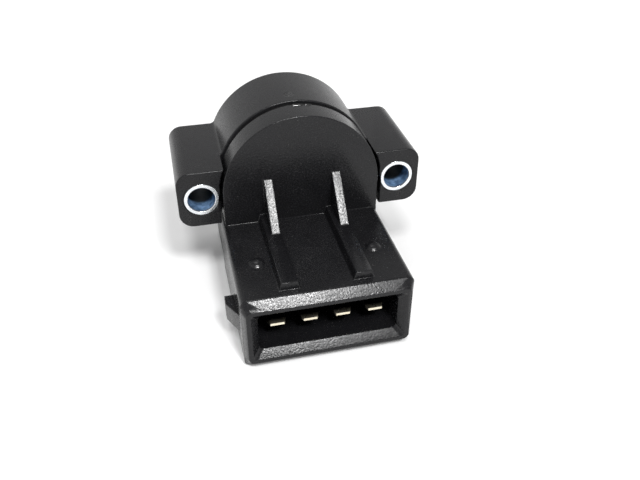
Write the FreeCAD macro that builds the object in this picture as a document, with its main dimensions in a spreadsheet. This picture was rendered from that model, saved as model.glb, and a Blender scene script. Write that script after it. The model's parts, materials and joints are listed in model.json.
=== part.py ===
"""Throttle potentiometer: a rotary position sensor with a four-way blade connector.

Millimetres, +Z up. The origin is on the rotor's axis at the mounting face. +Y points out of that face, so
everything is placed by its depth in front of it, towards -Y, where the connector points.
"""
import FreeCAD, Part
import math
import operator
import os
import Sketcher
from FreeCAD import Placement, Rotation, Vector

DIMENSIONS = [
    ("drum_radius", 12.9, "outside of the drum"),
    ("hole_spacing", "=2 * drum_radius + 6.2", "between the two mounting screws"),
    ("sleeve_bore", 4.3, "clearance for an M4 screw"),
    ("sleeve_outside", 5.5, "outside of the steel sleeve"),
    ("ear_height", 9.7, "height of a mounting ear"),
    ("ear_margin", 3.75, "from a screw's axis to the end of its ear"),
    ("ear_depth", 16.9, "mounting face to the front of an ear"),
    ("ear_corner", 2.3, "outer corners of an ear"),
    ("ear_blend", 0.9, "fillet where an ear meets the drum"),
    ("ear_gap", 0.45, "slit between the cap and an ear"),
    ("drum_depth", 11.9, "mounting face to the drum's rim"),
    ("base_drop", 17.6, "rotor axis down to the flat underside"),
    ("drum_wall", 2.0, "wall round the rotor chamber"),
    ("rear_wall", 3.6, "wall behind the rotor chamber"),
    ("core_depth", 9.4, "hollows under the chamber, from the mounting face"),
    ("core_web", 2.0, "web between the two hollows, and the floor under them"),
    ("stop_rib_angle", 12.0, "angle that a stop rib takes up"),
    ("stop_rib_reach", 1.5, "how far a stop rib stands into the chamber"),
    ("cap_radius", "=drum_radius - 0.2", "outside of the cap"),
    ("cap_depth", 17.3, "mounting face to the cap's front face"),
    ("seam_width", 1.0, "width of the sealing groove behind the cap"),
    ("seam_depth", 0.8, "depth of that groove below the cap's side"),
    ("bead_below", 0.25, "how far the bead lies below the cap's side"),
    ("spigot_length", 1.8, "ring of the cap that enters the drum"),
    ("spigot_wall", 0.9, "wall of that ring"),
    ("spigot_clearance", 0.1, "ring to chamber, on the radius"),
    ("connector_front", 37.75, "mounting face to the connector's rim"),
    ("connector_top", 5.2, "rotor axis down to the connector's top"),
    ("connector_width", 25.8, "width of the connector"),
    ("connector_shift", 0.3, "how far the connector lies to the left of the rotor's axis"),
    ("outer_bevel", 1.25, "bevel of the rim's top and bottom edges"),
    ("side_bevel", 0.6, "bevel of the rim's upright edges"),
    ("connector_corner", 1.0, "rounding of the connector's long edges"),
    ("rim_width", 0.63, "flat left on the rim between the bevels"),
    ("mouth_bevel", 1.14, "lead-in round the plug cavity"),
    ("cavity_depth", 11.2, "rim to the cavity's back"),
    ("cavity_corner", 0.7, "rounding of the cavity's corners"),
    ("pitch", 5.0, "between neighbouring contact blades"),
    ("blade_width", 2.8, "width of a contact blade"),
    ("blade_thickness", 0.8, "thickness of a contact blade"),
    ("blade_recess", 2.4, "rim to the blades' tips"),
    ("tip_length", 0.9, "length of the bevelled tip"),
    ("tip_width", 2.1, "width of the blade's end face"),
    ("tip_thickness", 0.4, "thickness of the blade's end face"),
    ("tail_rise", 3.4, "how far a terminal's tail stands above the blade"),
    ("gusset_spacing", 11.0, "between the two gussets"),
    ("gusset_width", 1.4, "thickness of a gusset"),
    ("gusset_top", 2.55, "rotor axis up to a gusset's upper end"),
    ("gusset_run", 6.0, "cap to the gusset's foot"),
    ("rail_width", 2.4, "width of a rail along the connector"),
    ("rail_height", 1.35, "height of a rail"),
    ("rail_draft", 0.35, "slope of a rail's sides"),
    ("rail_end", 35.4, "mounting face to the front of a rail"),
    ("pip_offset", 9.1, "middle plane to a pip"),
    ("pip_depth", 28.1, "mounting face to a pip"),
    ("pip_radius", 1.25, "radius of a pip's foot"),
    ("pip_height", 0.65, "height of a pip"),
    ("pip_shoulder", 0.8, "radius where a pip's steep foot meets its flatter crown"),
    ("pip_shoulder_height", 0.42, "height of that shoulder"),
    ("ramp_height", 3.2, "height of a latch ramp"),
    ("ramp_reach", 1.6, "how far a ramp stands out"),
    ("ramp_catch", 29.0, "mounting face to the ramp's catch"),
    ("ramp_land", 1.9, "flat crest of a ramp"),
    ("ramp_slope", 3.0, "sloping front of a ramp"),
    ("journal_radius", 5.2, "rotor's journal in the rear wall"),
    ("journal_recess", 0.6, "mounting face to the rotor's end"),
    ("running_clearance", 0.05, "journal and pivot, on the radius"),
    ("rotor_disc_radius", "=drum_radius - drum_wall - 2.1", "rotor's disc"),
    ("rotor_disc_back", "=drum_depth - 3.7", "mounting face to the disc's back"),
    ("rotor_disc_thickness", 1.6, "thickness of the disc"),
    ("lug_radius", "=drum_radius - drum_wall - 0.6", "reach of the rotor's stop lug"),
    ("lug_angle", 14.0, "angle that the lug takes up"),
    ("travel", 96.0, "turn of the rotor between its stops"),
    ("stop_play", 0.6, "angle between the lug and a stop rib"),
    ("socket_radius", 3.5, "drive socket for the throttle's spindle"),
    ("socket_flat", 2.6, "axis to the flat of the socket"),
    ("socket_depth", 6.0, "depth of the socket"),
    ("pivot_radius", 1.6, "pivot post of the cap"),
    ("pivot_engagement", 2.8, "length of the post inside the rotor"),
    ("element_radius", "=drum_radius - drum_wall - spigot_wall - 0.6", "round top of the resistive element"),
    ("element_drop", 10.2, "axis down to the element's lower edge"),
    ("element_thickness", 0.8, "thickness of the element"),
    ("element_setback", 0.4, "drum's rim to the element's track side"),
    ("element_clearance", 0.2, "element to its pocket"),
    ("rivet_radius", 0.45, "shank of a terminal rivet"),
    ("rivet_head_radius", 0.7, "head of a terminal rivet"),
    ("rivet_head", 0.25, "thickness of a rivet's head"),
    ("wiper_thickness", 0.25, "wiper strip"),
    ("wiper_foot", 2.6, "length of the wiper's foot on the rotor"),
    ("wiper_arm", 3.4, "length of the wiper's arm"),
    ("wiper_gap", 0.05, "wiper tip to the track"),
    ("signal_wiper_radius", "=rotor_disc_radius - 1.6", "track that the signal wiper runs on"),
    ("signal_wiper_width", 1.8, "width of the signal wiper"),
    ("idle_wiper_radius", "=rotor_disc_radius - 4.2", "track that the idle wiper runs on"),
    ("idle_wiper_width", 1.2, "width of the idle wiper"),
    ("spring_radius", "=journal_radius + 1.5", "middle of the return spring's coil"),
    ("spring_wire", 0.75, "side of the return spring's square wire"),
    ("spring_pitch", 1.05, "pitch of the coil"),
    ("spring_length", 2.1, "length of the coil"),
    ("spring_leg_gap", 0.1, "drive leg of the spring to the rotor's disc"),
    ("shaft_seal_radius", "=journal_radius + 1.8", "outside of the shaft seal"),
    ("shaft_seal_width", 1.6, "width of the shaft seal"),
    ("shaft_seal_clearance", 0.06, "seal lip to journal, on the radius"),
    ("face_seal_radius", "=journal_radius + 3.4", "middle of the face seal"),
    ("face_seal_section", 1.5, "width of the face seal"),
    ("face_groove_depth", 1.3, "depth of its groove"),
    ("face_groove_clearance", 0.1, "face seal to its groove, on the radius"),
]
TERMINALS = 4

doc = FreeCAD.newDocument("throttle_potentiometer")
sheet = doc.addObject("Spreadsheet::Sheet", "dims")


class Size:
    """A sheet dimension, or a sum or product of some: the text that binds it and its present value."""

    def __init__(self, text, value):
        self.text = text
        self.value = value

    def __add__(self, other):
        return combine(self, "+", other)

    def __radd__(self, other):
        return combine(other, "+", self)

    def __sub__(self, other):
        return combine(self, "-", other)

    def __rsub__(self, other):
        return combine(other, "-", self)

    def __mul__(self, other):
        return combine(self, "*", other)

    def __rmul__(self, other):
        return combine(other, "*", self)

    def __truediv__(self, other):
        return combine(self, "/", other)

    def __neg__(self):
        return combine(0, "-", self)


OPERATORS = {"+": operator.add, "-": operator.sub, "*": operator.mul, "/": operator.truediv}


def as_size(x):
    return x if isinstance(x, Size) else Size(repr(float(x)), float(x))


def combine(a, sign, b):
    a, b = as_size(a), as_size(b)
    return Size(f"({a.text} {sign} {b.text})", OPERATORS[sign](a.value, b.value))


def turned(radius, angle):
    """A point at a radius from the rotor's axis, at an angle from +Z towards +X, in degrees."""
    radius, angle = as_size(radius), as_size(angle)
    turn = math.radians(angle.value)
    across = Size(f"({radius.text} * sin({angle.text} * 1 deg))", radius.value * math.sin(turn))
    up = Size(f"({radius.text} * cos({angle.text} * 1 deg))", radius.value * math.cos(turn))
    return across, up


class Dims:
    """The sheet's dimensions by name."""


def fill_sheet():
    """Fills the sheet, where a text that starts with = ties a size to others, and reads back each value."""
    for row, (alias, value, note) in enumerate(DIMENSIONS, start=1):
        sheet.set(f"A{row}", note)
        sheet.set(f"B{row}", str(value))
        sheet.setAlias(f"B{row}", alias)
    doc.recompute()
    dims = Dims()
    for alias, _, _ in DIMENSIONS:
        setattr(dims, alias, Size(f"dims.{alias}", float(sheet.get(alias))))
    return dims


d = fill_sheet()

# Depths and half sizes that several pieces share
half_connector = d.connector_width / 2
connector_left = -half_connector - d.connector_shift
connector_right = half_connector - d.connector_shift
seam_radius = d.cap_radius - d.seam_depth
seam_front = d.drum_depth + d.seam_width
chamber_radius = d.drum_radius - d.drum_wall
half_ear = d.ear_height / 2
ear_reach = d.hole_spacing / 2 + d.ear_margin
ear_inside = d.cap_radius + d.ear_gap
element_back = d.drum_depth + d.element_setback
element_front = element_back + d.element_thickness
disc_front = d.rotor_disc_back + d.rotor_disc_thickness
blade_drop = (d.connector_top + d.base_drop) / 2
tail_drop = blade_drop - d.tail_rise
half_blade = d.blade_thickness / 2
rivet_level = (blade_drop - half_blade + tail_drop) / 2
tail_front = element_front + d.blade_thickness
cavity_back = d.connector_front - d.cavity_depth
blade_tip = d.connector_front - d.blade_recess
lug_rest = -(d.travel / 2)
rib_start = d.travel / 2 + d.lug_angle / 2 + d.stop_play
rib_end = rib_start + d.stop_rib_angle
spring_start = d.rear_wall + d.spring_wire / 2


def terminal_across(index):
    """Distance of a terminal from the rotor's axis, to the right."""
    return d.pitch * (index - (TERMINALS - 1) / 2) - d.connector_shift


def bind(thing, path, size):
    thing.setExpression(path, as_size(size).text)


def new_body(label):
    body = doc.addObject("PartDesign::Body", label)
    body.Label = label
    return body


def sketch_on(body, role, offset):
    """A sketch on one of the body's origin planes, moved along that plane's normal."""
    sketch = body.newObject("Sketcher::SketchObject", body.Name + "_sketch")
    plane = next(f for f in body.Origin.OriginFeatures if f.Role == role)
    sketch.AttachmentSupport = (plane, "")
    sketch.MapMode = "FlatFace"
    bind(sketch, "AttachmentOffset.Base.z", offset)
    return sketch


def fix_point(sketch, geometry, end, point):
    """Holds one end of a line or arc at its distances from the origin."""
    for kind, size in zip(("DistanceX", "DistanceY"), point):
        size = as_size(size)
        index = sketch.addConstraint(Sketcher.Constraint(kind, -1, 1, geometry, end, size.value))
        sketch.setExpression(f"Constraints[{index}]", size.text)


def fix_radius(sketch, geometry, radius):
    radius = as_size(radius)
    index = sketch.addConstraint(Sketcher.Constraint("Radius", geometry, radius.value))
    sketch.setExpression(f"Constraints[{index}]", radius.text)


def polygon(corners):
    """An outline of straight sides through the corners."""

    def draw(sketch):
        points = [Vector(as_size(x).value, as_size(y).value, 0) for x, y in corners]
        count = len(points)
        first = sketch.GeometryCount
        for i in range(count):
            sketch.addGeometry(Part.LineSegment(points[i], points[(i + 1) % count]), False)
        for i in range(count):
            sketch.addConstraint(Sketcher.Constraint("Coincident", first + i, 2, first + (i + 1) % count, 1))
            fix_point(sketch, first + i, 1, corners[i])

    return draw


def rectangle(left, right, low, high):
    return polygon([(left, low), (right, low), (right, high), (left, high)])


def rounded(left, right, low, high, corner):
    """A rectangle with round corners: four sides, and a quarter circle after each."""

    def draw(sketch):
        sides = [
            ((left + corner, low), (right - corner, low)),
            ((right, low + corner), (right, high - corner)),
            ((right - corner, high), (left + corner, high)),
            ((left, high - corner), (left, low + corner)),
        ]
        middles = [
            (right - corner, low + corner),
            (right - corner, high - corner),
            (left + corner, high - corner),
            (left + corner, low + corner),
        ]
        lines, arcs = [], []
        for number, (ends, middle) in enumerate(zip(sides, middles)):
            start, end = (Vector(x.value, y.value, 0) for x, y in ends)
            lines.append(sketch.addGeometry(Part.LineSegment(start, end), False))
            full = Part.Circle(Vector(middle[0].value, middle[1].value, 0), Vector(0, 0, 1), corner.value)
            quarter = (number - 1) * math.pi / 2
            arcs.append(sketch.addGeometry(Part.ArcOfCircle(full, quarter, quarter + math.pi / 2), False))
        for number, (line, arc) in enumerate(zip(lines, arcs)):
            sketch.addConstraint(Sketcher.Constraint("Coincident", line, 2, arc, 1))
            sketch.addConstraint(Sketcher.Constraint("Coincident", arc, 2, lines[(number + 1) % 4], 1))
            for end, point in zip((1, 2), sides[number]):
                fix_point(sketch, line, end, point)
            fix_radius(sketch, arc, corner)

    return draw


def circle(radius, middle=(0, 0)):
    def draw(sketch):
        centre = Vector(as_size(middle[0]).value, as_size(middle[1]).value, 0)
        index = sketch.addGeometry(Part.Circle(centre, Vector(0, 0, 1), as_size(radius).value), False)
        fix_point(sketch, index, 3, middle)
        fix_radius(sketch, index, radius)

    return draw


def bow(radius, drop):
    """A half round over the axis, with straight sides down to a flat foot."""

    def draw(sketch):
        r, low = as_size(radius).value, -as_size(drop).value
        full = Part.Circle(Vector(0, 0, 0), Vector(0, 0, 1), r)
        top = sketch.addGeometry(Part.ArcOfCircle(full, 0, math.pi), False)
        left = sketch.addGeometry(Part.LineSegment(Vector(-r, 0, 0), Vector(-r, low, 0)), False)
        foot = sketch.addGeometry(Part.LineSegment(Vector(-r, low, 0), Vector(r, low, 0)), False)
        right = sketch.addGeometry(Part.LineSegment(Vector(r, low, 0), Vector(r, 0, 0)), False)
        for a, b in ((top, left), (left, foot), (foot, right), (right, top)):
            sketch.addConstraint(Sketcher.Constraint("Coincident", a, 2, b, 1))
        sketch.addConstraint(Sketcher.Constraint("Coincident", top, 3, -1, 1))
        sketch.addConstraint(Sketcher.Constraint("Horizontal", foot))
        for side in (left, right):
            sketch.addConstraint(Sketcher.Constraint("Vertical", side))
        for end in (1, 2):
            sketch.addConstraint(Sketcher.Constraint("DistanceY", -1, 1, top, end, 0))
        fix_radius(sketch, top, radius)
        index = sketch.addConstraint(Sketcher.Constraint("DistanceY", -1, 1, foot, 1, low))
        sketch.setExpression(f"Constraints[{index}]", (-as_size(drop)).text)

    return draw


def socket_outline(radius, flat):
    """A round hole with one flat above the axis."""

    def draw(sketch):
        r, level = radius.value, flat.value
        half = math.sqrt(r * r - level * level)
        turn = math.atan2(level, half)
        full = Part.Circle(Vector(0, 0, 0), Vector(0, 0, 1), r)
        arc = sketch.addGeometry(Part.ArcOfCircle(full, math.pi - turn, 2 * math.pi + turn), False)
        chord = sketch.addGeometry(Part.LineSegment(Vector(half, level, 0), Vector(-half, level, 0)), False)
        sketch.addConstraint(Sketcher.Constraint("Coincident", arc, 2, chord, 1))
        sketch.addConstraint(Sketcher.Constraint("Coincident", chord, 2, arc, 1))
        sketch.addConstraint(Sketcher.Constraint("Coincident", arc, 3, -1, 1))
        sketch.addConstraint(Sketcher.Constraint("Horizontal", chord))
        fix_radius(sketch, arc, radius)
        index = sketch.addConstraint(Sketcher.Constraint("DistanceY", -1, 1, chord, 1, level))
        sketch.setExpression(f"Constraints[{index}]", flat.text)

    return draw


def pad(body, outline, near, far):
    """Material between two depths in front of the mounting face."""
    sketch = sketch_on(body, "XZ_Plane", near)
    outline(sketch)
    feature = body.newObject("PartDesign::Pad", body.Name + "_pad")
    feature.Profile = sketch
    bind(feature, "Length", far - as_size(near))
    return feature


def cut(body, outline, near, far):
    """A hollow between two depths in front of the mounting face."""
    doc.recompute()
    before = body.Shape.Volume
    sketch = sketch_on(body, "XZ_Plane", far)
    outline(sketch)
    feature = body.newObject("PartDesign::Pocket", body.Name + "_pocket")
    feature.Profile = sketch
    bind(feature, "Length", as_size(far) - near)
    doc.recompute()
    if body.Shape.Volume > before - 1e-6:
        raise RuntimeError(f"a hollow of {body.Label} removed nothing")
    return feature


def loft(body, kind, near_outline, near, far_outline, far):
    """A ruled skin between two outlines at two depths, added to the body or taken from it."""
    sketches = []
    for outline, depth in ((near_outline, near), (far_outline, far)):
        sketch = sketch_on(body, "XZ_Plane", depth)
        outline(sketch)
        sketches.append(sketch)
    feature = body.newObject(f"PartDesign::{kind}Loft", body.Name + "_loft")
    feature.Profile = sketches[0]
    feature.Sections = sketches[1:]
    feature.Ruled = True
    return feature


def side_pad(body, outline, middle, width):
    """A profile in the YZ plane, thickened equally to both sides of a plane across X."""
    sketch = sketch_on(body, "YZ_Plane", middle)
    outline(sketch)
    feature = body.newObject("PartDesign::Pad", body.Name + "_pad")
    feature.Profile = sketch
    feature.Midplane = True
    bind(feature, "Length", width)
    return feature


def turn_solid(body, outline):
    """A profile in the XY plane, turned about the rotor's axis."""
    sketch = sketch_on(body, "XY_Plane", 0)
    outline(sketch)
    feature = body.newObject("PartDesign::Revolution", body.Name + "_turned")
    feature.Profile = sketch
    feature.ReferenceAxis = (sketch, ["V_Axis"])
    feature.Angle = 360
    return feature


def edge_names(shape, wanted):
    """Names of the straight edges whose two ends pass a test."""
    names = []
    for number, edge in enumerate(shape.Edges, start=1):
        ends = [vertex.Point for vertex in edge.Vertexes]
        if len(ends) == 2 and isinstance(edge.Curve, Part.Line) and wanted(*ends):
            names.append(f"Edge{number}")
    return names


def dress(body, kind, size_name, size, wanted, count):
    """A fillet or chamfer on the edges that pass a test, which have to be as many as the design has."""
    doc.recompute()
    names = edge_names(body.Tip.Shape, wanted)
    if len(names) != count:
        raise RuntimeError(f"{body.Label}: {len(names)} edges found, and {count} expected")
    base = body.Tip
    feature = body.newObject(f"PartDesign::{kind}", body.Name + "_" + kind.lower())
    feature.Base = (base, names)
    bind(feature, size_name, size)
    return feature


def near_to(value, target):
    return abs(value - as_size(target).value) < 0.01


def runs_along_axis(a, b):
    return near_to(a.x, b.x) and near_to(a.z, b.z) and abs(a.y - b.y) > 0.1


def make_housing():
    """The drum with its two ears: chamber, bearing bore, seal seats, screw holes and the hollows below."""
    body = new_body("housing")
    pad(body, bow(d.drum_radius, d.base_drop), 0, d.drum_depth)
    pad(body, rectangle(-ear_reach, ear_reach, -half_ear, half_ear), 0, d.ear_depth)
    dress(
        body, "Fillet", "Radius", d.ear_blend,
        lambda a, b: runs_along_axis(a, b) and near_to(abs(a.z), half_ear) and abs(a.x) < ear_inside.value, 4,
    )
    cut(body, bow(ear_inside, d.base_drop), d.drum_depth, d.ear_depth)
    dress(
        body, "Fillet", "Radius", d.ear_corner,
        lambda a, b: runs_along_axis(a, b) and near_to(abs(a.x), ear_reach), 4,
    )
    cut(body, circle(chamber_radius), d.rear_wall, d.drum_depth)
    cut(body, circle(d.journal_radius + d.running_clearance), 0, d.rear_wall)
    seal_seat = d.rear_wall - d.shaft_seal_width
    cut(body, circle(d.shaft_seal_radius), seal_seat, d.rear_wall)
    for side in (-1, 1):
        cut(body, circle(d.sleeve_outside / 2, (d.hole_spacing / 2 * side, 0)), 0, d.ear_depth)
    hollow_top = chamber_radius + d.drum_wall
    hollow_low = d.base_drop - d.core_web
    for side in (-1, 1):
        inner, outer = d.core_web / 2 * side, chamber_radius * side
        left, right = (inner, outer) if side > 0 else (outer, inner)
        cut(body, rectangle(left, right, -hollow_low, -hollow_top), 0, d.core_depth)
    face_groove(body)
    for side in (-1, 1):
        stop_rib(body, side)
    return body


def face_groove(body):
    """The groove for the face seal, round the bearing bore."""
    half = d.face_seal_section / 2 + d.face_groove_clearance
    inner, outer = d.face_seal_radius - half, d.face_seal_radius + half

    def ring(sketch):
        circle(outer)(sketch)
        circle(inner)(sketch)

    cut(body, ring, 0, d.face_groove_depth)


def stop_rib(body, side):
    """A rib on the chamber's wall that the rotor's lug meets at one end of its travel."""
    start, end = rib_start * side, rib_end * side
    inner, outer = chamber_radius - d.stop_rib_reach, chamber_radius + d.drum_wall / 2
    corners = [turned(inner, start), turned(outer, start), turned(outer, end), turned(inner, end)]
    pad(body, polygon(corners), d.rear_wall, disc_front)


def make_sleeve(label, side):
    """A steel sleeve that takes the screw's clamping load through an ear."""
    body = new_body(label)
    middle = (d.hole_spacing / 2 * side, 0)

    def tube(sketch):
        circle(d.sleeve_outside / 2, middle)(sketch)
        circle(d.sleeve_bore / 2, middle)(sketch)

    pad(body, tube, 0, d.ear_depth)
    return body


def make_cap():
    """The front cap with its connector: seam groove, spigot, pivot, rails, gussets, pips and ramps."""
    body = new_body("connector_cap")
    pad(body, bow(d.cap_radius, d.base_drop), seam_front, d.cap_depth)
    pad(body, bow(seam_radius, d.base_drop - d.seam_depth), d.drum_depth, seam_front)
    connector_block(body)
    plug_cavity(body)
    spigot_outside = chamber_radius - d.spigot_clearance

    def ring(sketch):
        circle(spigot_outside)(sketch)
        circle(spigot_outside - d.spigot_wall)(sketch)

    pad(body, ring, d.drum_depth - d.spigot_length, d.drum_depth)
    pocket_radius = d.element_radius + d.element_clearance
    cut(body, bow(pocket_radius, d.element_drop + d.element_clearance), d.drum_depth, element_front)
    pad(body, circle(d.pivot_radius), disc_front - d.pivot_engagement, element_front)
    for index in range(TERMINALS):
        terminal_slots(body, index)
    for side in (-1, 1):
        rail(body, d.gusset_spacing / 2 * side - d.connector_shift)
        gusset(body, d.gusset_spacing / 2 * side)
        latch_ramp(body, side)
        pip(body, side)
    return body


def connector_outline(inset_across, inset_up, corner):
    """The connector's outline, drawn in from its widest by an inset at the sides and one above and below."""
    return rounded(
        connector_left + inset_across,
        connector_right - inset_across,
        inset_up - d.base_drop,
        -d.connector_top - inset_up,
        corner,
    )


def connector_block(body):
    """The block that the plug goes over: long edges rounded, and its rim bevelled."""
    bevel_start = d.connector_front - d.outer_bevel
    widest = connector_outline(as_size(0), as_size(0), d.connector_corner)
    rim = connector_outline(d.side_bevel, d.outer_bevel, d.connector_corner)
    pad(body, widest, seam_front, bevel_start)
    loft(body, "Additive", widest, bevel_start, rim, d.connector_front)


def plug_cavity(body):
    """The cavity for the plug, with a lead-in all round its mouth."""
    across, up = d.side_bevel + d.rim_width, d.outer_bevel + d.rim_width
    mouth = connector_outline(across, up, d.cavity_corner)
    cavity = connector_outline(across + d.mouth_bevel, up + d.mouth_bevel, d.cavity_corner)
    cut(body, cavity, cavity_back, d.connector_front)
    loft(body, "Subtractive", cavity, d.connector_front - d.mouth_bevel, mouth, d.connector_front)


def terminal_slots(body, index):
    """The slot that a terminal's blade is moulded into, and the recess for its tail."""
    middle = terminal_across(index)
    left, right = middle - d.blade_width / 2, middle + d.blade_width / 2
    cut(body, rectangle(left, right, -blade_drop - half_blade, -blade_drop + half_blade),
        element_front, cavity_back)
    cut(body, rectangle(left, right, -blade_drop - half_blade, -tail_drop), element_front, tail_front)


def rail(body, middle):
    """A drafted rail along the connector's top."""
    half, foot = d.rail_width / 2, d.rail_width / 2 + d.rail_draft
    top = -d.connector_top + d.rail_height
    outline = polygon([
        (middle - foot, -d.connector_top),
        (middle + foot, -d.connector_top),
        (middle + half, top),
        (middle - half, top),
    ])
    pad(body, outline, d.cap_depth, d.rail_end)


def gusset(body, middle):
    """A sloping web that stands on a rail and props the cap's front."""
    top = -d.connector_top + d.rail_height
    side_pad(body, polygon([
        (-d.cap_depth, top),
        (-d.cap_depth, d.gusset_top),
        (-(d.cap_depth + d.gusset_run), top),
    ]), middle, d.gusset_width)


def latch_ramp(body, side):
    """A ramp on the connector's side that the plug's spring snaps over."""
    wall = half_connector * side - d.connector_shift
    crest = wall + d.ramp_reach * side
    sketch = sketch_on(body, "XY_Plane", -blade_drop)
    polygon([
        (wall, -d.ramp_catch),
        (crest, -d.ramp_catch),
        (crest, -(d.ramp_catch + d.ramp_land)),
        (wall, -(d.ramp_catch + d.ramp_land + d.ramp_slope)),
    ])(sketch)
    feature = body.newObject("PartDesign::Pad", body.Name + "_ramp")
    feature.Profile = sketch
    feature.Midplane = True
    bind(feature, "Length", d.ramp_height)
    return feature


def pip(body, side):
    """A low dome on the connector's top: a steep foot and a flatter crown, both cones."""
    cones = [
        (d.pip_radius, d.pip_shoulder, as_size(0), d.pip_shoulder_height),
        (d.pip_shoulder, as_size(0), d.pip_shoulder_height, d.pip_height),
    ]
    for low_radius, high_radius, low, high in cones:
        feature = body.newObject("PartDesign::AdditiveCone", body.Name + "_pip")
        bind(feature, "Radius1", low_radius)
        bind(feature, "Radius2", high_radius)
        bind(feature, "Height", high - low)
        bind(feature, "Placement.Base.x", d.pip_offset * side - d.connector_shift)
        bind(feature, "Placement.Base.y", -d.pip_depth)
        bind(feature, "Placement.Base.z", low - d.connector_top)


def make_bead():
    """The sealing compound that fills the seam between the drum's rim and the cap."""
    body = new_body("sealing_bead")
    drop = d.base_drop - d.bead_below

    def ring(sketch):
        bow(d.cap_radius - d.bead_below, drop)(sketch)
        bow(seam_radius, d.base_drop - d.seam_depth)(sketch)

    pad(body, ring, d.drum_depth, seam_front)
    return body


def make_terminal(label, index):
    """A contact blade with a bevelled tip, and a tail bent up behind the resistive element."""
    body = new_body(label)
    middle = terminal_across(index)
    half_tip = d.tip_thickness / 2
    shoulder = blade_tip - d.tip_length
    side_pad(body, polygon([
        (-element_front, -tail_drop),
        (-element_front, -blade_drop - half_blade),
        (-shoulder, -blade_drop - half_blade),
        (-blade_tip, -blade_drop - half_tip),
        (-blade_tip, -blade_drop + half_tip),
        (-shoulder, -blade_drop + half_blade),
        (-tail_front, -blade_drop + half_blade),
        (-tail_front, -tail_drop),
    ]), middle, d.blade_width)
    for side in (-1, 1):
        narrow_tip(body, middle, side)
    cut(body, circle(d.rivet_radius, (middle, -rivet_level)), element_front, tail_front)
    return body


def narrow_tip(body, middle, side):
    """Takes one corner off the blade's end, seen from above."""
    edge = middle + d.blade_width / 2 * side
    sketch = sketch_on(body, "XY_Plane", -blade_drop)
    polygon([
        (edge, -(blade_tip - d.tip_length)),
        (edge, -blade_tip),
        (middle + d.tip_width / 2 * side, -blade_tip),
    ])(sketch)
    feature = body.newObject("PartDesign::Pocket", body.Name + "_tip")
    feature.Profile = sketch
    feature.Midplane = True
    bind(feature, "Length", d.blade_thickness * 2)
    return feature


def make_element():
    """The resistive element: a flat board with a round top, a hole for the pivot and four rivet holes."""
    body = new_body("resistive_element")
    pad(body, bow(d.element_radius, d.element_drop), element_back, element_front)
    cut(body, circle(d.pivot_radius + d.element_clearance), element_back, element_front)
    for index in range(TERMINALS):
        cut(body, circle(d.rivet_radius, (terminal_across(index), -rivet_level)), element_back, element_front)
    return body


def make_rivets():
    """The four rivets that join the element's tracks to the terminals, each a separate solid."""
    rivets = []
    for index in range(TERMINALS):
        shank = doc.addObject("Part::Cylinder", f"rivet_shank_{index + 1}")
        head = doc.addObject("Part::Cylinder", f"rivet_head_{index + 1}")
        bind(shank, "Radius", d.rivet_radius)
        bind(shank, "Height", tail_front - element_back)
        bind(head, "Radius", d.rivet_head_radius)
        bind(head, "Height", d.rivet_head)
        for piece, depth in ((shank, element_back), (head, element_back - d.rivet_head)):
            piece.Placement = Placement(Vector(), Rotation(Vector(1, 0, 0), 90))
            bind(piece, "Placement.Base.x", terminal_across(index))
            bind(piece, "Placement.Base.y", -depth)
            bind(piece, "Placement.Base.z", -rivet_level)
        rivet = doc.addObject("Part::Fuse", f"rivet_{index + 1}")
        rivet.Base, rivet.Tool = shank, head
        rivets.append(rivet)
    group = doc.addObject("Part::Compound", "terminal_rivets")
    group.Links = rivets
    group.Label = "terminal_rivets"
    return group


def make_rotor():
    """The rotor: journal with the drive socket, disc with the stop lug, and the pivot hole in front."""
    body = new_body("rotor")
    pad(body, circle(d.journal_radius), d.journal_recess, d.rotor_disc_back)
    pad(body, circle(d.rotor_disc_radius), d.rotor_disc_back, disc_front)
    start, end = lug_rest - d.lug_angle / 2, lug_rest + d.lug_angle / 2
    root = d.rotor_disc_radius - d.rotor_disc_thickness
    corners = [turned(root, start), turned(d.lug_radius, start), turned(d.lug_radius, end), turned(root, end)]
    pad(body, polygon(corners), d.rotor_disc_back, disc_front)
    socket_end = d.journal_recess + d.socket_depth
    cut(body, socket_outline(d.socket_radius, d.socket_flat), d.journal_recess, socket_end)
    hole_end = disc_front - d.pivot_engagement - d.running_clearance
    cut(body, circle(d.pivot_radius + d.running_clearance), hole_end, disc_front)
    return body


def make_wiper(label, radius, width):
    """A sprung contact strip: a foot on the rotor's disc, an arm up to the track and a tip bent back."""
    body = new_body(label)
    crest = element_back - d.wiper_gap
    thick = d.wiper_thickness
    tip = d.wiper_arm + thick * 2
    sketch = sketch_on(body, "XY_Plane", -radius)
    polygon([
        (-d.wiper_foot, -disc_front),
        (0, -disc_front),
        (d.wiper_arm, -(crest - thick)),
        (tip, -(crest - thick * 3)),
        (tip + thick, -(crest - thick * 2)),
        (d.wiper_arm, -crest),
        (-thick / 2, -(disc_front + thick)),
        (-d.wiper_foot, -(disc_front + thick)),
    ])(sketch)
    feature = body.newObject("PartDesign::Pad", body.Name + "_strip")
    feature.Profile = sketch
    feature.Midplane = True
    bind(feature, "Length", width)
    return body


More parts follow.
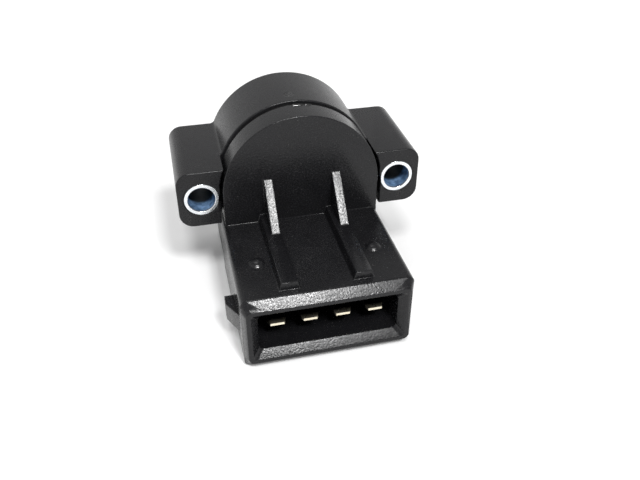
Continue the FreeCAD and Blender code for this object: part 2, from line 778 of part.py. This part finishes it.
def make_spring():
    """The return spring: a coil of square wire, a leg that bears on a stop rib and one for the rotor."""
    coil = doc.addObject("Part::Helix", "spring_line")
    bind(coil, "Pitch", d.spring_pitch)
    bind(coil, "Height", d.spring_length)
    bind(coil, "Radius", d.spring_radius)
    coil.SegmentLength = 0.5
    coil.Placement = Placement(Vector(), Rotation(Vector(1, 0, 0), 90))
    bind(coil, "Placement.Base.y", -spring_start)
    wire = doc.addObject("Part::RegularPolygon", "spring_section")
    wire.Polygon = 4
    bind(wire, "Circumradius", d.spring_wire * math.sqrt(0.5))
    wire.Placement = Placement(Vector(), Rotation(Vector(0, 0, 1), 45))
    bind(wire, "Placement.Base.x", d.spring_radius)
    bind(wire, "Placement.Base.y", -spring_start)
    turns = doc.addObject("Part::Sweep", "spring_turns")
    turns.Sections = [wire]
    doc.recompute()
    turns.Spine = (coil, [f"Edge{n}" for n in range(1, len(coil.Shape.Edges) + 1)])
    turns.Solid = True
    turns.Frenet = True
    inside, outside = d.spring_radius - d.spring_wire / 2, d.spring_radius + d.spring_wire / 2
    last_turn = spring_start + d.spring_length - d.spring_wire / 2
    first_end = (inside, chamber_radius - d.spring_wire / 2, d.rear_wall, d.rear_wall + d.spring_wire)
    last_end = (inside, outside, last_turn, d.rotor_disc_back - d.spring_leg_gap)
    spring = doc.addObject("Part::MultiFuse", "return_spring")
    spring.Shapes = [
        turns,
        spring_leg("bearing_leg", *first_end, -d.spring_wire),
        spring_leg("drive_leg", *last_end, as_size(0)),
    ]
    spring.Placement = Placement(Vector(), Rotation(Vector(0, 1, 0), 1))
    bind(spring, "Placement.Rotation.Angle", rib_end - 90)
    spring.Label = "return_spring"
    return spring


def spring_leg(label, left, right, near, far, low):
    """A straight end of the spring's wire, between two depths."""
    leg = doc.addObject("Part::Box", label)
    bind(leg, "Length", right - left)
    bind(leg, "Width", far - near)
    bind(leg, "Height", d.spring_wire)
    bind(leg, "Placement.Base.x", left)
    bind(leg, "Placement.Base.y", -far)
    bind(leg, "Placement.Base.z", low)
    return leg


def make_shaft_seal():
    """A lip seal round the journal, seated in the rear wall."""
    body = new_body("shaft_seal")
    inner = d.journal_radius + d.shaft_seal_clearance
    back, front = d.rear_wall - d.shaft_seal_width, d.rear_wall
    lip = d.shaft_seal_width / 4
    turn_solid(body, polygon([
        (d.shaft_seal_radius, -back),
        (d.shaft_seal_radius, -front),
        (inner + lip * 2, -front),
        (inner, -(back + lip)),
        (inner + lip, -back),
    ]))
    return body


def make_face_seal():
    """The square-section ring that seals the mounting face, shown at its clamped height."""
    body = new_body("face_seal")
    half = d.face_seal_section / 2
    turn_solid(body, rectangle(
        d.face_seal_radius - half, d.face_seal_radius + half, -d.face_groove_depth, as_size(0),
    ))
    return body


def check_and_write(pieces):
    """Stops if any object failed or a shape is unsound, and writes one file for each piece."""
    doc.recompute()
    failed = [o.Name for o in doc.Objects if "Invalid" in o.State or "Error" in o.State]
    if failed:
        raise RuntimeError(f"failed objects: {failed}")
    for piece in pieces:
        if piece.Shape.isNull() or not piece.Shape.isValid() or not piece.Shape.Solids:
            raise RuntimeError(f"{piece.Label} has no sound shape")
    os.makedirs("parts", exist_ok=True)
    for piece in pieces:
        piece.Shape.exportStep(f"parts/{piece.Label}.step")
        print(f"{piece.Label}: {len(piece.Shape.Solids)} solids, {piece.Shape.Volume:.2f} mm3")


pieces = [make_housing(), make_cap(), make_bead(), make_element(), make_rivets(), make_rotor()]
pieces += [make_sleeve(f"{name}_sleeve", side) for name, side in (("left", -1), ("right", 1))]
pieces += [make_terminal(f"terminal_{index + 1}", index) for index in range(TERMINALS)]
pieces.append(make_wiper("signal_wiper", d.signal_wiper_radius, d.signal_wiper_width))
pieces.append(make_wiper("idle_wiper", d.idle_wiper_radius, d.idle_wiper_width))
pieces += [make_spring(), make_shaft_seal(), make_face_seal()]
check_and_write(pieces)
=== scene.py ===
"""Throttle potentiometer on a white bench: its finishes, its rounded edges and the stage.

Metres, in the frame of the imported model: the rotor's axis is Y, the mounting face is at y = 0
and Z is up. Names that end in _mm hold millimetres.
"""
import json
import math

import bmesh
import bpy
import numpy as np
from mathutils import Matrix, Vector


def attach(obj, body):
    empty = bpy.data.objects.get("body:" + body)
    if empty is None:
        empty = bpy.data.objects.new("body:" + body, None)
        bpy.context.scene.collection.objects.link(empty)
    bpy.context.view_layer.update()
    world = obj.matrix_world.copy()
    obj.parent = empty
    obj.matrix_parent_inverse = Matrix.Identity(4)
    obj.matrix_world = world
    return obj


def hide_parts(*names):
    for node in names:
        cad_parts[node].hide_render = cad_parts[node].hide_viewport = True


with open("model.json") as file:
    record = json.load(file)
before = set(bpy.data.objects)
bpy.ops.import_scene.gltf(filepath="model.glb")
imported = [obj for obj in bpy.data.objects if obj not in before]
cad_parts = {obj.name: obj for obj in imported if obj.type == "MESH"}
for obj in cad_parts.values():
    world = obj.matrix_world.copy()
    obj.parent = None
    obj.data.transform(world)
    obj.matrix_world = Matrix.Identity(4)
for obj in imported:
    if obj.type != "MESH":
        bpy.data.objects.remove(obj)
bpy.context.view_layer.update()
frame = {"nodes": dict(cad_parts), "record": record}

MM = 0.001

# Places on the part, in millimetres
GATE_MARK = (-0.3, -9.4, 12.9)
BLADE_TIP = -35.35
SLEEVE_END = -16.9
SEAM_RADIUS = 12.60
UNDERSIDE = -17.6

# Rounded edges: radii in millimetres, then what counts as sharp, flat and nearly straight
EDGE_RADII = {"housing": 0.22, "connector_cap": 0.16, "left_sleeve": 0.10, "right_sleeve": 0.10}
EDGE_STEPS = 2
SHARP_ANGLE = math.radians(30)
FLAT_ANGLE = math.radians(0.4)
STRAIGHT_ANGLE = math.radians(150)
FACE_SHARE = 0.45
SLIVER_AREA = 0.001 * MM ** 2
MERGE_REACH = 1e-6

# Drops of compound, in millimetres: name, place across, half length, depth, half width, height
DROPS = (
    ("compound_drop_1", 0.35, 1.05, -13.15, 0.30, 0.29),
    ("compound_drop_2", 1.95, 0.60, -13.12, 0.28, 0.27),
)
DROP_POWER = 1.3
DROP_ROWS, DROP_POINTS = 33, 25
POLE_REACH = 1e-7

# The stage: the bench lies just clear of the underside
BENCH_LEVEL = (UNDERSIDE - 0.02) * MM
BENCH_HALF = 3.0
GLOW_REACH_MM = 400
AMBIENT = 0.17

# Soft boxes: name, direction from the part, distance, size and watts
LAMPS = (
    ("key", (0.12, -0.61, 0.78), 0.60, 0.09, 2.3),
    ("front", (-0.12, -0.50, 0.86), 0.60, 0.10, 1.2),
    ("overhead", (-0.08, 0.28, 0.95), 0.70, 0.30, 0.9),
    ("fill", (-0.75, -0.25, 0.60), 0.70, 0.50, 0.4),
)
LAMP_AIM = np.array([0.0, -0.018, -0.006])


class Term:
    """A shader socket that takes part in arithmetic: each operation adds one Math node."""

    def __init__(self, shader, socket):
        self.shader = shader
        self.socket = socket

    def _with(self, operation, a, b):
        return self.shader.node("ShaderNodeMath", {"operation": operation}, {0: a, 1: b})

    def __add__(self, other):
        return self._with("ADD", self, other)

    __radd__ = __add__

    def __sub__(self, other):
        return self._with("SUBTRACT", self, other)

    def __rsub__(self, other):
        return self._with("SUBTRACT", other, self)

    def __mul__(self, other):
        return self._with("MULTIPLY", self, other)

    __rmul__ = __mul__

    def __truediv__(self, other):
        return self._with("DIVIDE", self, other)

    def __rtruediv__(self, other):
        return self._with("DIVIDE", other, self)


class Shader:
    """A material or world under construction: nodes come from node(), and outputs are Terms."""

    def __init__(self, owner):
        owner.use_nodes = True
        self.owner = owner
        self.tree = owner.node_tree
        self.tree.nodes.clear()

    def node(self, kind, settings=None, sockets=None, out=0):
        """Adds a node, sets its properties, then its sockets to values or links.

        Returns one of its outputs, or None where it has none.
        """
        made = self.tree.nodes.new(kind)
        for key, value in (settings or {}).items():
            if key == "stops":
                self._stops(made.color_ramp, value)
            else:
                setattr(made, key, value)
        for key, value in (sockets or {}).items():
            if isinstance(value, Term):
                self.tree.links.new(value.socket, made.inputs[key])
            else:
                made.inputs[key].default_value = value
        return Term(self, made.outputs[out]) if made.outputs else None

    @staticmethod
    def _stops(ramp, stops):
        """Sets a ramp to grey levels at the given places."""
        while len(ramp.elements) < len(stops):
            ramp.elements.new(0.5)
        for element, (place, level) in zip(ramp.elements, stops):
            element.position = place
            element.color = rgb(level, level, level)

    def coords(self, stretch=None):
        """Object coordinates, in metres, stretched where a finish has a direction."""
        place = self.node("ShaderNodeTexCoord", out="Object")
        if stretch is None:
            return place
        return self.node("ShaderNodeMapping", {}, {"Vector": place, "Scale": stretch})

    def along(self, axis):
        """One object coordinate, in millimetres."""
        return self.node("ShaderNodeSeparateXYZ", {}, {0: self.coords()}, out=axis) / MM

    def distance(self, point_mm):
        """Distance from a point of the part, in millimetres."""
        ends = {0: self.coords(), 1: tuple(c * MM for c in point_mm)}
        return self.node("ShaderNodeVectorMath", {"operation": "DISTANCE"}, ends, out="Value") / MM

    def noise(self, size_mm, detail, stretch=None):
        """Smooth noise from 0 to 1 with features of about the given size."""
        return self.node("ShaderNodeTexNoise", {}, {
            "Vector": self.coords(stretch),
            "Scale": 1 / (size_mm * MM),
            "Detail": detail,
        })

    def ray(self, kind):
        """1 for rays of one kind, such as Camera or Glossy, and 0 for the others."""
        return self.node("ShaderNodeLightPath", out="Is " + kind + " Ray")

    def ramp(self, value, *stops):
        """A value sent through places and the levels that they get."""
        return self.node("ShaderNodeValToRGB", {"stops": stops}, {"Fac": value})

    def mix(self, factor, a, b):
        """Colour a where the factor is 0, and b where it is 1."""
        colours = {0: factor, 6: a, 7: b}
        return self.node("ShaderNodeMix", {"data_type": "RGBA"}, colours, out=2)

    def bump(self, height, depth_mm, under=None):
        """A relief of the given depth, over another one where there is one."""
        sockets = {"Strength": 1.0, "Distance": depth_mm * MM, "Height": height}
        if under is not None:
            sockets["Normal"] = under
        return self.node("ShaderNodeBump", {}, sockets)

    def finish(self, colour, roughness, normal, metallic=0.0, ior=1.5):
        """Ends a material in one Principled shader."""
        closure = self.node("ShaderNodeBsdfPrincipled", {}, {
            "Base Color": colour,
            "Roughness": roughness,
            "Metallic": metallic,
            "IOR": ior,
            "Normal": normal,
        })
        self.node("ShaderNodeOutputMaterial", {}, {"Surface": closure})
        return self.owner


def new_shader(name):
    return Shader(bpy.data.materials.new(name))


def rgb(r, g, b):
    return (r, g, b, 1.0)


def moulded_black(name, roughness, grain_mm, grain_depth_mm, gate=None):
    """Black moulded plastic: sparked grain, slow patches from the mould's flow and dust.

    A gate leaves a raised ring round its place.
    """
    s = new_shader(name)
    grain = s.noise(grain_mm, detail=1.0)
    patches = s.noise(3.5, detail=3.0)
    mottle = s.noise(0.45, detail=2.0)
    dust = s.ramp(s.noise(0.16, detail=1.0), (0.68, 0.0), (0.76, 1.0))
    dust_veil = s.ramp(s.noise(2.6, detail=2.0), (0.42, 0.0), (0.70, 1.0))
    dark, lit = rgb(0.004, 0.004, 0.0045), rgb(0.0128, 0.0128, 0.0144)
    base = s.mix(patches * 0.5 + mottle * 0.5, dark, lit)
    base = s.mix(dust * dust_veil * 0.35, base, rgb(0.26, 0.25, 0.24))
    rough = roughness + (grain - 0.5) * 0.36 + (patches - 0.5) * 0.10
    relief = s.bump(grain, grain_depth_mm)
    if gate is not None:
        profile = ((0.0, 0.7), (0.30, 0.4), (0.50, 1.0), (0.66, 0.0), (0.85, 0.5))
        relief = s.bump(s.ramp(s.distance(gate), *profile), 0.16, under=relief)
    return s.finish(base, rough, relief, ior=1.36)


def zinc_plate():
    """Zinc on turned steel: bright on the ends; in the bore, blue-grey with painted light near the
    mouths and painted shade deeper in.
    """
    s = new_shader("zinc_plate")
    cloud = s.ramp(s.noise(0.9, detail=3.0), (0.35, 0.0), (0.65, 1.0))
    fine = s.noise(0.05, detail=2.0)
    bright = s.mix(cloud, rgb(0.74, 0.77, 0.80), rgb(0.88, 0.90, 0.92))
    # Blue-grey near the bore's mouths: partly the zinc's blue tint, partly painted light where the
    # lamps reach into the bore
    blue = s.mix(cloud, rgb(0.07, 0.14, 0.26), rgb(0.26, 0.43, 0.68))
    depth = 1 - s.along("Y") / SLEEVE_END
    down_bore = s.ramp(depth, (0.008, 0.0), (0.02, 1.0), (0.98, 1.0), (0.992, 0.0))
    # Painted shade: the bore turns dark deeper in, away from its mouths
    bore_shade = s.ramp(depth, (0.14, 0.0), (0.18, 1.0), (0.82, 1.0), (0.86, 0.0))
    base = s.mix(down_bore, bright, s.mix(bore_shade, blue, rgb(0.03, 0.04, 0.05)))
    rough = 0.16 + fine * 0.08 + down_bore * 0.24
    return s.finish(base, rough, s.bump(fine, 0.004), metallic=1 - down_bore * 0.6)


def tin_plate():
    """Tinned brass contact: rolling streaks, bright at the tip, with painted shade darkening it
    further into the cavity.
    """
    s = new_shader("tin_plate")
    streaks = s.noise(0.12, detail=2.0, stretch=(1, 0.06, 1))
    cloud = s.noise(0.8, detail=2.0)
    bright = s.mix(cloud, rgb(0.90, 0.80, 0.58), rgb(0.97, 0.92, 0.78))
    # Painted shade: the blade darkens deeper in the cavity, where the light doesn't reach
    cavity_shade = s.ramp(s.along("Y") - BLADE_TIP, (0.25, 0.0), (0.95, 1.0))
    base = s.mix(cavity_shade, bright, rgb(0.06, 0.055, 0.05))
    return s.finish(base, 0.22 + streaks * 0.16, s.bump(streaks, 0.004), metallic=1.0)


def cured_compound():
    """Glossy black sealing compound with slow ripples from how it ran."""
    s = new_shader("cured_compound")
    ripple = s.noise(1.3, detail=1.0)
    base = s.mix(ripple, rgb(0.003, 0.003, 0.003), rgb(0.006, 0.006, 0.006))
    return s.finish(base, 0.18 + ripple * 0.10, s.bump(ripple, 0.04), ior=1.70)


def natural_acetal():
    """Milky rotor plastic with slight flow clouds and fine tool marks."""
    s = new_shader("natural_acetal")
    cloud = s.noise(2.0, detail=3.0)
    fine = s.noise(0.12, detail=2.0)
    base = s.mix(cloud, rgb(0.56, 0.54, 0.48), rgb(0.68, 0.66, 0.60))
    return s.finish(base, 0.36 + fine * 0.12, s.bump(fine, 0.01))


def nitrile():
    """Matt black rubber with a fine moulded bloom."""
    s = new_shader("nitrile")
    bloom = s.noise(1.1, detail=3.0)
    fine = s.noise(0.10, detail=2.0)
    base = s.mix(bloom, rgb(0.018, 0.018, 0.019), rgb(0.040, 0.040, 0.042))
    return s.finish(base, 0.55 + bloom * 0.15, s.bump(fine, 0.012))


def printed_board():
    """Tan laminate under the printed tracks, with its fibre grain."""
    s = new_shader("printed_board")
    fibre = s.noise(0.3, detail=2.0, stretch=(1, 1, 0.15))
    base = s.mix(fibre, rgb(0.12, 0.08, 0.035), rgb(0.20, 0.14, 0.07))
    return s.finish(base, 0.42 + fibre * 0.12, s.bump(fibre, 0.01))


def spring_metal(name, dark, bright):
    """Drawn or rolled spring metal with fine streaks."""
    s = new_shader(name)
    streak = s.noise(0.1, detail=2.0, stretch=(1, 1, 0.2))
    base = s.mix(streak, dark, bright)
    return s.finish(base, 0.24 + streak * 0.14, s.bump(streak, 0.004), metallic=1.0)


FINISHES = {
    "housing_plastic": moulded_black(
        "housing_plastic", roughness=0.29, grain_mm=0.22, grain_depth_mm=0.008, gate=GATE_MARK),
    "cap_plastic": moulded_black(
        "cap_plastic", roughness=0.24, grain_mm=0.27, grain_depth_mm=0.017),
    "sealant": cured_compound(),
    "element_board": printed_board(),
    "plated_contact": tin_plate(),
    "rotor_plastic": natural_acetal(),
    "zinc_steel": zinc_plate(),
    "wiper_metal": spring_metal("wiper_metal", rgb(0.70, 0.50, 0.26), rgb(0.84, 0.66, 0.40)),
    "spring_steel": spring_metal("spring_steel", rgb(0.46, 0.46, 0.47), rgb(0.62, 0.62, 0.63)),
    "seal_rubber": nitrile(),
}
SLOTS = {row["node"]: row["material_slot"] for row in frame["record"]["subparts"]}


def dress_nodes():
    """Gives every node the finish of its slot."""
    for name, node in frame["nodes"].items():
        node.data.materials.clear()
        node.data.materials.append(FINISHES[SLOTS[name]])


def body_of(name):
    """The moving body that a node belongs to."""
    bodies = frame["record"]["behaviour"]["bodies"]
    return next(body for body, nodes in bodies.items() if name in nodes)


def new_piece(name, mesh, like):
    """An object that moves with a node."""
    piece = bpy.data.objects.new(name, mesh)
    bpy.context.scene.collection.objects.link(piece)
    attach(piece, body_of(like))
    return piece


def drop_slivers(shape):
    """Deletes tiny faces that hang on the closed skin with one side free."""
    while True:
        hanging = {edge.link_faces[0] for edge in shape.edges if len(edge.link_faces) == 1}
        slivers = [face for face in hanging if face.calc_area() < SLIVER_AREA]
        if not slivers:
            return
        bmesh.ops.delete(shape, geom=slivers, context="FACES")


def width_across(loop):
    """How far a face reaches from the middle of one of its edges, straight across it."""
    on_the_edge = 1e-9
    start, end = np.array(loop.vert.co), np.array(loop.link_loop_next.vert.co)
    ahead = (end - start) / np.linalg.norm(end - start)
    inward = np.cross(loop.face.normal, ahead)
    corners = np.array([corner.co for corner in loop.face.verts]) - (start + end) / 2
    x, y = corners @ ahead, corners @ inward
    x_next, y_next = np.roll(x, -1), np.roll(y, -1)
    crossing = x * x_next < 0
    share = x[crossing] / (x - x_next)[crossing]
    reach = y[crossing] + share * (y_next - y)[crossing]
    return min(reach[reach > on_the_edge], default=0.0)


def edge_room(edge, sharp):
    """The widest rounding, in metres, for which both faces beside an edge have space.

    A face gives FACE_SHARE of its width across the edge. At a corner of angle t, a sharp neighbour
    gives the shorter length times tan(t / 2), and any other one that doesn't run nearly straight on
    gives its own length times sin(t), reduced the same way.
    """
    rooms = []
    for loop in edge.link_loops:
        rooms.append(width_across(loop))
        after = loop.link_loop_next
        for corner, beside in ((loop, loop.link_loop_prev.edge), (after, after.edge)):
            angle = corner.calc_angle()
            if beside in sharp:
                shorter = min(edge.calc_length(), beside.calc_length())
                rooms.append(shorter * math.tan(angle / 2))
            elif angle < STRAIGHT_ANGLE:
                rooms.append(beside.calc_length() * math.sin(angle))
    return FACE_SHARE * min(rooms)


def mark_edges(shape, radius):
    """Gives each sharp edge with room for the radius a bevel weight, and keeps the others crisp."""
    weight = shape.edges.layers.float.new("bevel_weight_edge")
    sharp = {edge for edge in shape.edges if edge.calc_face_angle(0) > SHARP_ANGLE}
    for edge in sharp:
        rounded = edge_room(edge, sharp) > radius
        edge[weight] = 1.0 if rounded else 0.0
        edge.smooth = rounded


def soften(name, radius):
    """A copy of a node whose sharp edges are rounded, in place of the node.

    Its loose triangles are merged, triangles in one plane become one face, and every sharp edge
    that has room for it is replaced by a strip of the given radius.
    """
    mesh = frame["nodes"][name].data.copy()
    mesh.name = name + "_edged"
    shape = bmesh.new()
    shape.from_mesh(mesh)
    bmesh.ops.remove_doubles(shape, verts=shape.verts, dist=MERGE_REACH)
    drop_slivers(shape)
    for element in (*shape.faces, *shape.edges):
        element.smooth = True
    bmesh.ops.dissolve_limit(
        shape, angle_limit=FLAT_ANGLE, verts=shape.verts, edges=shape.edges)
    mark_edges(shape, radius)
    shape.to_mesh(mesh)
    shape.free()
    # Normals stored for the loose triangles don't fit the merged skin
    stale = mesh.attributes.get("custom_normal")
    if stale is not None:
        mesh.attributes.remove(stale)
    piece = new_piece(name + "_edged", mesh, name)
    rounding = piece.modifiers.new("edges", "BEVEL")
    rounding.width = radius
    rounding.segments = EDGE_STEPS
    rounding.limit_method = "WEIGHT"
    rounding.use_clamp_overlap = False
    weighting = piece.modifiers.new("flat_faces", "WEIGHTED_NORMAL")
    weighting.weight = 100
    weighting.keep_sharp = True
    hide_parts(name)


def surface(name, rows_mm, like):
    """A smooth skin over rows of points that close round each row, in the finish of a node.

    The first and last rows may be poles.
    """
    index = np.arange(rows_mm.shape[0] * rows_mm.shape[1]).reshape(rows_mm.shape[:2])
    after = np.roll(index, -1, axis=1)
    faces = np.stack([index[:-1], after[:-1], after[1:], index[1:]], axis=-1).reshape(-1, 4)
    mesh = bpy.data.meshes.new(name)
    mesh.from_pydata((rows_mm.reshape(-1, 3) * MM).tolist(), [], faces.tolist())
    shape = bmesh.new()
    shape.from_mesh(mesh)
    bmesh.ops.remove_doubles(shape, verts=shape.verts, dist=POLE_REACH)
    bmesh.ops.recalc_face_normals(shape, faces=shape.faces)
    shape.to_mesh(mesh)
    shape.free()
    mesh.shade_smooth()
    mesh.materials.append(FINISHES[SLOTS[like]])
    new_piece(name, mesh, like)


def compound_mound(name, across, half_length, depth, half_width, height):
    """Compound that stands on the seam and follows the drum's round, in millimetres.

    Along it s runs from -1 to 1 and scales the section by k = (1 - s^4)^(1/2). Its section is half
    of |u|^p + |w|^p = 1 with p = DROP_POWER. P = (r sin a, depth + half_width k u, r cos a) with
    a = (across + half_length s) / SEAM_RADIUS and r = SEAM_RADIUS + height k w.
    """
    q = np.linspace(-math.pi / 2, math.pi / 2, DROP_POINTS)
    u = np.sign(np.sin(q)) * np.abs(np.sin(q)) ** (2 / DROP_POWER)
    w = np.abs(np.cos(q)) ** (2 / DROP_POWER)
    s = np.sin(np.linspace(-math.pi / 2, math.pi / 2, DROP_ROWS))[:, None]
    k = np.sqrt(np.clip(1 - s ** 4, 0, None))
    a = (across + half_length * s) / SEAM_RADIUS
    r = SEAM_RADIUS + height * k * w
    rows = np.stack([r * np.sin(a), depth + half_width * k * u, r * np.cos(a)], axis=-1)
    surface(name, rows, "sealing_bead")


def make_camera():
    """A pinhole camera at the photograph's viewpoint: its axes are given in the part's frame."""
    right = (0.9724, -0.2331, 0.0013)
    up = (0.1348, 0.5668, 0.8127)
    back = (-0.1902, -0.7902, 0.5826)
    centre = np.array([-19.49, -110.52, 58.19]) * MM
    lens = bpy.data.cameras.new("camera")
    lens.sensor_fit = "HORIZONTAL"
    lens.sensor_width = 36.0
    lens.lens = 39.03
    lens.clip_start = 0.005
    camera = bpy.data.objects.new("camera", lens)
    turn = Matrix(np.array([right, up, back]).T.tolist()).to_4x4()
    camera.matrix_world = Matrix.Translation(centre.tolist()) @ turn
    bpy.context.scene.collection.objects.link(camera)
    bpy.context.scene.camera = camera


def make_bench():
    """A wide white floor that keeps the shadows and is a little brighter where it is seen."""
    corners = ((-1, -1), (1, -1), (1, 1), (-1, 1))
    points = [(x * BENCH_HALF, y * BENCH_HALF, BENCH_LEVEL) for x, y in corners]
    mesh = bpy.data.meshes.new("bench")
    mesh.from_pydata(points, [], [(0, 1, 2, 3)])
    bench = bpy.data.objects.new("bench", mesh)
    bpy.context.scene.collection.objects.link(bench)
    s = new_shader("white_bench")
    fibre = s.noise(0.6, detail=2.0)
    tone = s.mix(fibre, rgb(0.92, 0.92, 0.92), rgb(0.94, 0.94, 0.94))
    diffuse = s.node("ShaderNodeBsdfDiffuse", {}, {"Color": tone})
    seen = s.ray("Camera") + s.ray("Glossy") + s.ray("Transmission")
    away = s.distance((0, 0, 0)) / GLOW_REACH_MM
    far = s.ramp(away, (0.06, 0.10), (0.2, 0.22), (1.0, 0.7))
    glow = s.node("ShaderNodeEmission", {}, {"Color": far, "Strength": seen})
    both = s.node("ShaderNodeAddShader", {}, {0: diffuse, 1: glow})
    s.node("ShaderNodeOutputMaterial", {}, {"Surface": both})
    mesh.materials.append(s.owner)


def make_lamp(name, towards, distance, size, watts):
    """A square soft box that faces the part from a direction."""
    data = bpy.data.lights.new(name, "AREA")
    data.size = size
    data.energy = watts
    lamp = bpy.data.objects.new(name, data)
    way = np.array(towards) / np.linalg.norm(towards)
    place = Matrix.Translation((LAMP_AIM + distance * way).tolist())
    back = Vector(way.tolist()).to_track_quat("Z", "Y").to_matrix().to_4x4()
    lamp.matrix_world = place @ back
    bpy.context.scene.collection.objects.link(lamp)


def make_world():
    """A dim room that is white to the camera; its walls reflect brightest at the horizon."""
    world = bpy.data.worlds.new("room")
    s = Shader(world)
    way = s.node("ShaderNodeTexCoord", out="Generated")
    height = s.node("ShaderNodeSeparateXYZ", {}, {0: way}, out="Z")
    walls = s.ramp(height, (0.0, 0.85), (0.12, 0.75), (0.5, 0.62), (1.0, 0.30))
    seen = s.ray("Camera") + s.ray("Transmission")
    glossy = s.ray("Glossy")
    level = seen + glossy * walls + (1 - seen - glossy) * AMBIENT
    ground = s.node("ShaderNodeBackground", {}, {"Color": rgb(1, 1, 1), "Strength": level})
    s.node("ShaderNodeOutputWorld", {}, {"Surface": ground})
    bpy.context.scene.world = world


dress_nodes()
make_camera()
make_bench()
make_world()
for lamp_row in LAMPS:
    make_lamp(*lamp_row)
for edged_node, radius_mm in EDGE_RADII.items():
    soften(edged_node, radius_mm * MM)
for drop_row in DROPS:
    compound_mound(*drop_row)
bpy.context.scene.view_settings.view_transform = "Standard"
